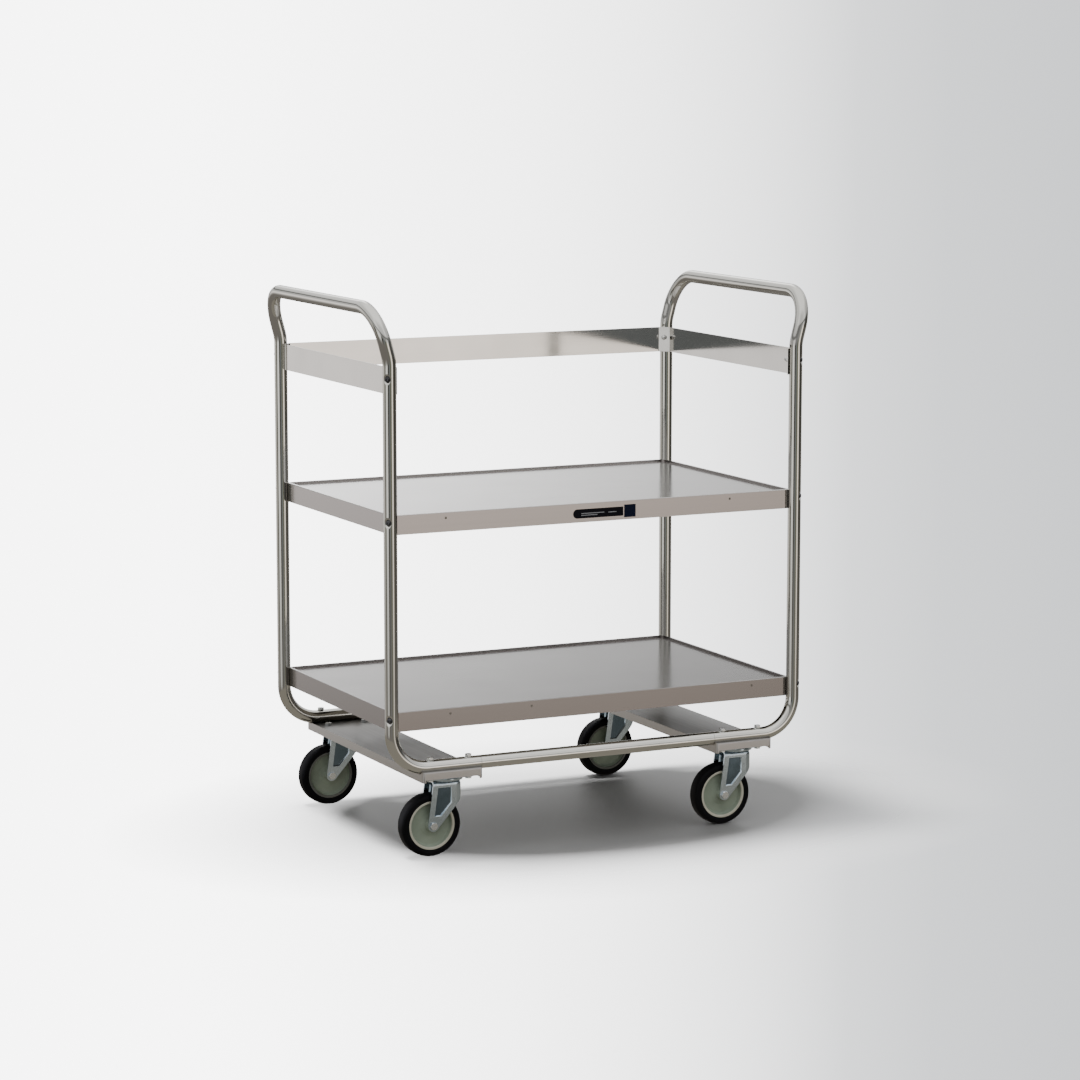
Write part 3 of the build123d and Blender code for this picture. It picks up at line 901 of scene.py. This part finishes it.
@dataclass
class PressedFork:
    """A swivel fork whose leg panels are dished at a slant and painted darker as painted shade.

    Attributes:
        corner: Corner of the cart.
        finishes: The cart's finishes.
        sheet: Thickness of the fork's sheet.
        recess: Depth of the panels in the plain shape.
        slant: Slope of the panels, as depth over length.
        deepest: Most that the slant adds to a panel's depth.
        edge: Width of the softened edges.
    """

    corner: Corner
    finishes: Finishes
    sheet: float = 3 * MM
    recess: float = 1.6 * MM
    slant: float = 0.072
    deepest: float = 2.04 * MM
    edge: float = 0.9 * MM

    def build(self) -> None:
        """Copy the plain fork, slant its panels, give them a darker painted-shade finish and soften its
        edges.
        """
        label = self.corner.label
        plain = frame["nodes"][f"{label}_fork"]
        low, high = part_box(f"{label}_fork")
        middle, half = (low.y + high.y) / 2, (high.y - low.y) / 2
        shape = bmesh.new()
        shape.from_mesh(plain.data)
        bmesh.ops.remove_doubles(shape, verts=shape.verts, dist=0.01 * MM)
        panel, panel_back = (
            {v for v in shape.verts if abs(abs(v.co.y - middle) - offset) < 0.02 * MM}
            for offset in (half - self.recess, half - self.recess - self.sheet))
        front = max(v.co.x for v in panel)
        for vert in panel | panel_back:
            inward = -1 if vert.co.y > middle else 1
            vert.co.y += inward * min(self.slant * max(0.0, front - vert.co.x), self.deepest)
        mesh = bpy.data.meshes.new(f"{label}_pressed_fork")
        # Panel faces take the second slot: painted shade on the recessed panels.
        slots = [int(panel.issuperset(face.verts)) for face in shape.faces]
        for face in shape.faces:
            face.smooth = True
        shape.to_mesh(mesh)
        shape.free()
        fork = bpy.data.objects.new(f"{label}_pressed_fork", mesh)
        bpy.context.scene.collection.objects.link(fork)
        stand_for(fork, f"{label}_fork", f"{label}_swivel")
        self.finishes.dress(fork, "zinc_plate", "zinc_panel_painted_shade")
        mesh.polygons.foreach_set("material_index", slots)
        soften(fork, self.edge)


# ---------------------------------------------------------------- small trim


@dataclass
class Trim:
    """Spot weld marks on the aprons and the pale lines on the label bar.

    Attributes:
        finishes: The cart's finishes.
        mark_r: Radius of a weld mark.
        marks: Places of the marks along each shelf's front apron.
        mark_drop: How far the marks are below the shelf's rim.
    """

    finishes: Finishes
    mark_r: float = 2.6 * MM
    marks: dict[str, tuple[float, ...]] = field(default_factory=lambda: {
        "middle_shelf": (-0.349, 0.320), "bottom_shelf": (-0.340, -0.152, 0.378)})
    mark_drop: float = 12 * MM

    def build(self) -> None:
        """Make the weld marks and the label's lines."""
        verts: list[Vector] = []
        faces: list[tuple[int, ...]] = []
        for shelf, places in self.marks.items():
            low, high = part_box(shelf)
            for x in places:
                self.lens(verts, faces, Vector((x, low.y, high.z - self.mark_drop)))
        marks = new_piece("weld_marks", verts, faces, 60.0)
        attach(marks, ROOT_BODY)
        self.finishes.dress(marks, "weld_tint")
        LOG.info("weld_marks on the aprons")
        self.label_lines()

    def lens(self, verts: list[Vector], faces: list[tuple[int, ...]], centre: Vector) -> None:
        """Add one shallow lens with its flat side on the apron.

        Args:
            verts: Vertices to add to.
            faces: Faces to add to.
            centre: Middle of the flat side.
        """
        sides, first = 20, len(verts)
        for share, height in ((1.0, 0.0), (0.8, 0.12), (0.45, 0.1)):
            for k in range(sides):
                angle = 2 * math.pi * k / sides
                offset = Vector((math.cos(angle), 0, math.sin(angle))) * self.mark_r * share
                verts.append(centre + offset - Vector((0, height * MM, 0)))
        for ring in range(2):
            a, b = first + ring * sides, first + (ring + 1) * sides
            faces += [(a + k, a + (k + 1) % sides, b + (k + 1) % sides, b + k) for k in range(sides)]
        faces.append(tuple(first + 2 * sides + k for k in range(sides)))
        faces.append(tuple(first + k for k in reversed(range(sides))))

    def label_lines(self) -> None:
        """Add plain pale lines to the label bar."""
        low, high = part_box("label_bar")
        middle, length = (low.z + high.z) / 2, high.x - low.x
        rows = ((0.16, 0.62, 0.55 * MM), (0.16, 0.48, -3.4 * MM), (0.70, 0.86, 0.0))
        verts: list[Vector] = []
        faces: list[tuple[int, ...]] = []
        for start, stop, rise in rows:
            first = len(verts)
            half, proud = 0.8 * MM, 0.08 * MM
            for y in (low.y - proud, low.y + proud):
                verts += [Vector((low.x + length * x, y, middle + rise + z))
                          for x, z in ((start, -half), (stop, -half), (stop, half), (start, half))]
            quads = ((0, 1, 2, 3), (7, 6, 5, 4), (0, 4, 5, 1), (1, 5, 6, 2), (2, 6, 7, 3), (3, 7, 4, 0))
            faces += [tuple(first + i for i in quad) for quad in quads]
        lines = new_piece("label_lines", verts, faces)
        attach(lines, ROOT_BODY)
        self.finishes.dress(lines, "label_pale")
        LOG.info("label_lines on the label bar")


# ---------------------------------------------------------------- stage


@dataclass
class Studio:
    """Pale floor, soft light and the camera.

    Attributes:
        floor_r: Radius of the floor.
        floor_shade: Tone of the floor.
        shadow_oval: Half length and half width of the oval in which the floor shows; the floor inside it is
            darker than the bright backdrop round it, a painted shadow pool under the cart.
        oval_shift: Shift of the oval, in shares of its size.
        fade: Start and end of the floor's fade, in shares of the oval.
        bounce: Light that the floor gives back to the cart.
        back_light: Brightness of the plain backdrop.
        room_light: Brightness of the room that lights the cart.
        lamp_place: Where the lamp hangs.
        lamp_aim: Point that it shines at.
        lamp_size: Side of its square face.
        lamp_power: Power in watts.
        eye: Place of the camera.
        yaw: Turn of the camera from +Y towards +X.
        pitch: Tilt of the camera below level.
        lens: Focal length in millimetres.
    """

    floor_r: float = 1.25
    floor_shade: float = 0.22
    shadow_oval: Point = (0.78, 0.56)
    oval_shift: Point = (-0.10, 0.04)
    fade: Point = (0.68, 1.4)
    bounce: Colour = (0.30, 0.28, 0.24)
    back_light: float = 7.0
    room_light: float = 5.0
    lamp_place: Place = (-0.9, 0.7, 3.8)
    lamp_aim: Place = (0.0, 0.0, 0.2)
    lamp_size: float = 1.1
    lamp_power: float = 1800.0
    eye: Place = (-3.3485, -6.9257, 1.7506)
    yaw: float = 0.4514
    pitch: float = 0.1477
    lens: float = 118.6

    def floor(self) -> None:
        """Make the pale floor, which fades out to the backdrop."""
        shape = bmesh.new()
        bmesh.ops.create_circle(shape, cap_ends=True, segments=128, radius=self.floor_r)
        mesh = bpy.data.meshes.new("studio_floor")
        shape.to_mesh(mesh)
        shape.free()
        plane = bpy.data.objects.new("studio_floor", mesh)
        bpy.context.scene.collection.objects.link(plane)
        mesh.materials.append(self.floor_finish())

    def floor_finish(self) -> bpy.types.Material:
        """Matt floor that fades out at the rim of its oval, so that the darker floor inside it is a painted
        shadow pool against the bright backdrop; reflections see its even bounce instead.

        Returns:
            The material.
        """
        graph = NodeGraph("floor_pale")
        graph.set(Roughness=0.55)
        graph.shader.inputs["Base Color"].default_value = (self.floor_shade,) * 3 + (1,)
        tree = graph.tree
        coords = tree.nodes.new("ShaderNodeTexCoord")
        shadow_oval = tree.nodes.new("ShaderNodeMapping")
        shadow_oval.inputs["Location"].default_value = (*self.oval_shift, 0)
        shadow_oval.inputs["Scale"].default_value = (*(1 / half for half in self.shadow_oval), 1)
        length = tree.nodes.new("ShaderNodeVectorMath")
        length.operation = "LENGTH"
        graph.link(coords.outputs["Object"], shadow_oval.inputs["Vector"])
        graph.link(shadow_oval.outputs["Vector"], length.inputs[0])
        # Painted shadow pool: the darker floor shows inside the oval and fades out to the bright backdrop
        # beyond it.
        fade = graph.span(length.outputs["Value"], 0.0, 1.0, *self.fade)
        clear = tree.nodes.new("ShaderNodeBsdfTransparent")
        bounce = tree.nodes.new("ShaderNodeEmission")
        bounce.inputs["Color"].default_value = (*self.bounce, 1)
        lit, mix = (tree.nodes.new("ShaderNodeMixShader") for _ in range(2))
        graph.link(fade, lit.inputs[0])
        graph.link(graph.shader.outputs[0], lit.inputs[1])
        graph.link(clear.outputs[0], lit.inputs[2])
        path = tree.nodes.new("ShaderNodeLightPath")
        graph.link(path.outputs["Is Camera Ray"], mix.inputs[0])
        graph.link(bounce.outputs[0], mix.inputs[1])
        graph.link(lit.outputs[0], mix.inputs[2])
        output = next(n for n in tree.nodes if n.type == "OUTPUT_MATERIAL")
        graph.link(mix.outputs[0], output.inputs["Surface"])
        return graph.material

    def world(self) -> None:
        """Light the cart from a soft room; the camera itself sees a plain backdrop."""
        world = bpy.data.worlds.new("studio_room")
        bpy.context.scene.world = world
        world.use_nodes = True
        tree = world.node_tree
        tree.nodes.clear()
        coords = tree.nodes.new("ShaderNodeTexCoord")
        split = tree.nodes.new("ShaderNodeSeparateXYZ")
        tree.links.new(coords.outputs["Generated"], split.inputs[0])
        angle = tree.nodes.new("ShaderNodeMath")
        angle.operation = "ARCTAN2"
        tree.links.new(split.outputs["X"], angle.inputs[0])
        tree.links.new(split.outputs["Y"], angle.inputs[1])
        turn = self.share(tree, angle.outputs[0], -math.pi, math.pi)
        height = self.share(tree, split.outputs["Z"], -1.0, 1.0)
        above_eye = self.share(tree, split.outputs["Z"], -0.03, 0.06)
        low, high = (self.ramp(tree, turn, stops) for stops in (self.low_stops(), self.high_stops()))
        rise = self.ramp(tree, height, self.rise_stops())
        drop = self.ramp(tree, turn, self.backdrop_stops())
        walls = self.mixed(tree, above_eye, low.outputs["Color"], high.outputs["Color"])
        tones = self.mixed(tree, rise.outputs["Alpha"], walls, rise.outputs["Color"])
        path = tree.nodes.new("ShaderNodeLightPath")
        choose = tree.nodes.new("ShaderNodeMixShader")
        tree.links.new(path.outputs["Is Camera Ray"], choose.inputs[0])
        sides = ((tones, self.room_light, choose.inputs[1]),
                 (drop.outputs["Color"], self.back_light, choose.inputs[2]))
        for colour, strength, target in sides:
            glow = tree.nodes.new("ShaderNodeBackground")
            glow.inputs["Strength"].default_value = strength
            tree.links.new(colour, glow.inputs["Color"])
            tree.links.new(glow.outputs[0], target)
        output = tree.nodes.new("ShaderNodeOutputWorld")
        tree.links.new(choose.outputs[0], output.inputs["Surface"])

    @staticmethod
    def share(tree: bpy.types.NodeTree, value: bpy.types.NodeSocket, start: float,
              stop: float) -> bpy.types.NodeSocket:
        """Map a value from start..stop to 0..1.

        Args:
            tree: Node tree to add to.
            value: Socket to map.
            start: Value that becomes 0.
            stop: Value that becomes 1.

        Returns:
            The mapped value.
        """
        node = tree.nodes.new("ShaderNodeMapRange")
        node.inputs["From Min"].default_value = start
        node.inputs["From Max"].default_value = stop
        tree.links.new(value, node.inputs["Value"])
        return node.outputs["Result"]

    @staticmethod
    def mixed(tree: bpy.types.NodeTree, share: bpy.types.NodeSocket, first: bpy.types.NodeSocket,
              second: bpy.types.NodeSocket) -> bpy.types.NodeSocket:
        """Mix two colours.

        Args:
            tree: Node tree to add to.
            share: Share of the second colour.
            first: First colour.
            second: Second colour.

        Returns:
            The mixed colour.
        """
        mix = tree.nodes.new("ShaderNodeMix")
        mix.data_type = "RGBA"
        first_in, second_in = [i for i in mix.inputs if i.type == "RGBA"]
        tree.links.new(share, mix.inputs["Factor"])
        tree.links.new(first, first_in)
        tree.links.new(second, second_in)
        return next(o for o in mix.outputs if o.type == "RGBA")

    @staticmethod
    def ramp(tree: bpy.types.NodeTree, place: bpy.types.NodeSocket, stops: Sequence[Stop]) -> bpy.types.Node:
        """Add a colour ramp.

        Args:
            tree: Node tree to add to.
            place: Socket that says where on the ramp to look.
            stops: Place, tone and alpha of each stop.

        Returns:
            The ramp's node.
        """
        node = tree.nodes.new("ShaderNodeValToRGB")
        elements = node.color_ramp.elements
        while len(elements) < len(stops):
            elements.new(0.5)
        for element, (position, tone, alpha) in zip(elements, stops):
            element.position = position
            element.color = (*tone, alpha)
        tree.links.new(place, node.inputs["Fac"])
        return node

    def low_stops(self) -> list[Stop]:
        """Tones round the room below eye height, by compass angle from -Y through -X, +Y and +X."""
        olive, dusk = (0.17, 0.175, 0.135), (0.23, 0.25, 0.26)
        black, buff = (0.07, 0.068, 0.06), (0.9, 0.87, 0.82)
        tones = [
            (0.00, olive), (0.03, olive), (0.05, dusk), (0.082, dusk), (0.092, black), (0.140, black),
            (0.155, (1.2, 1.2, 1.18)), (0.20, (1.4, 1.4, 1.38)), (0.245, (0.9, 0.9, 0.84)), (0.26, black),
            (0.30, black), (0.315, (0.8, 0.78, 0.72)), (0.37, (0.65, 0.63, 0.6)), (0.41, (1.3, 1.26, 1.23)),
            (0.45, (1.5, 1.44, 1.4)), (0.48, (0.6, 0.58, 0.57)), (0.545, (0.2, 0.2, 0.2)),
            (0.60, (0.15, 0.15, 0.14)), (0.64, buff), (0.69, buff), (0.71, black), (0.888, black),
            (0.902, (0.9, 0.82, 0.68)), (0.915, (1.5, 1.37, 1.24)), (0.935, (2.2, 2.02, 1.85)),
            (0.946, (2.0, 1.85, 1.7)), (0.956, (0.6, 0.6, 0.5)), (1.0, olive),
        ]
        return [(place, tuple(c / self.room_light for c in tone), 1.0) for place, tone in tones]

    def high_stops(self) -> list[Stop]:
        """Tones round the room above eye height, by the same angle."""
        tones = [
            (0.00, 0.45), (0.05, 0.3), (0.115, 0.3), (0.14, 0.8), (0.20, 1.2), (0.24, 0.5), (0.36, 0.5),
            (0.44, 0.75), (0.50, 0.9), (0.54, 4.4), (0.556, 4.2), (0.566, 2.9), (0.576, 1.6), (0.586, 0.95),
            (0.60, 0.6), (0.64, 0.8), (0.69, 0.8), (0.72, 0.1), (0.86, 0.1), (0.90, 0.8), (0.94, 1.2),
            (0.96, 0.5), (1.0, 0.45),
        ]
        return [(place, (tone / self.room_light,) * 3, 1.0) for place, tone in tones]

    def rise_stops(self) -> list[Stop]:
        """Floor and ceiling tones by height; alpha says how far they hide the walls."""
        ground = tuple(c / self.room_light for c in (0.22, 0.205, 0.19))
        ceiling, shade = (1.5 / self.room_light,) * 3, (0.22 / self.room_light,) * 3
        return [
            (0.0, ground, 1.0), (0.33, ground, 1.0), (0.397, ground, 0.70), (0.43, ground, 0.12),
            (0.45, ground, 0.0), (0.575, shade, 0.0), (0.588, shade, 1.0), (0.625, shade, 1.0),
            (0.66, ceiling, 0.45), (0.80, ceiling, 0.5), (0.92, ceiling, 1.0), (1.0, ceiling, 1.0),
        ]

    @staticmethod
    def backdrop_stops() -> list[Stop]:
        """Tones of the backdrop by the same angle: pale, a little greyer to one side."""
        return [
            (0.0, (0.7, 0.7, 0.7), 1.0), (0.45, (1.0, 1.0, 1.0), 1.0), (0.556, (1.0, 1.0, 1.0), 1.0),
            (0.572, (0.66, 0.66, 0.66), 1.0), (0.587, (0.20, 0.205, 0.21), 1.0),
            (0.60, (0.15, 0.155, 0.16), 1.0), (0.63, (0.3, 0.3, 0.3), 1.0), (0.72, (0.6, 0.6, 0.6), 1.0),
            (1.0, (0.7, 0.7, 0.7), 1.0),
        ]

    def lamp(self) -> None:
        """Hang the soft lamp, which lights the cart but isn't seen in its metal."""
        data = bpy.data.lights.new("key_lamp", "AREA")
        data.size = self.lamp_size
        data.energy = self.lamp_power
        lamp = bpy.data.objects.new("key_lamp", data)
        lamp.location = self.lamp_place
        look = Vector(self.lamp_aim) - Vector(self.lamp_place)
        lamp.rotation_mode = "QUATERNION"
        lamp.rotation_quaternion = look.to_track_quat("-Z", "Y")
        lamp.visible_glossy = False
        bpy.context.scene.collection.objects.link(lamp)

    def camera(self) -> None:
        """Set the camera at the cart's front left, a little above its handles."""
        data = bpy.data.cameras.new("camera")
        data.sensor_width = 36.0
        data.lens = self.lens
        data.clip_end = 60.0
        camera = bpy.data.objects.new("camera", data)
        camera.location = self.eye
        level = math.cos(self.pitch)
        look = Vector((math.sin(self.yaw) * level, math.cos(self.yaw) * level, -math.sin(self.pitch)))
        camera.rotation_mode = "QUATERNION"
        camera.rotation_quaternion = look.to_track_quat("-Z", "Y")
        bpy.context.scene.collection.objects.link(camera)
        bpy.context.scene.camera = camera

    def build(self) -> None:
        """Set up floor, light and camera."""
        self.floor()
        self.world()
        self.lamp()
        self.camera()


def main() -> None:
    """Build the cart's looks in order."""
    logging.basicConfig(level=logging.INFO, format="%(name)s: %(message)s")
    Studio().build()
    finishes = Finishes()
    DressedNodes(finishes).build()
    for tube in TubeFrame().build():
        finishes.dress(tube, "tube_polish")
    for corner in Corner:
        # Rear wheels get the darker painted-shade ring, as if in the cart's shadow.
        ring = "hub_ring_cream" if corner.value[1] < 0 else "hub_ring_painted_shade"
        Wheel(corner, finishes, ring).build()
        PressedFork(corner, finishes).build()
    Trim(finishes).build()


if __name__ == "__main__":
    main()
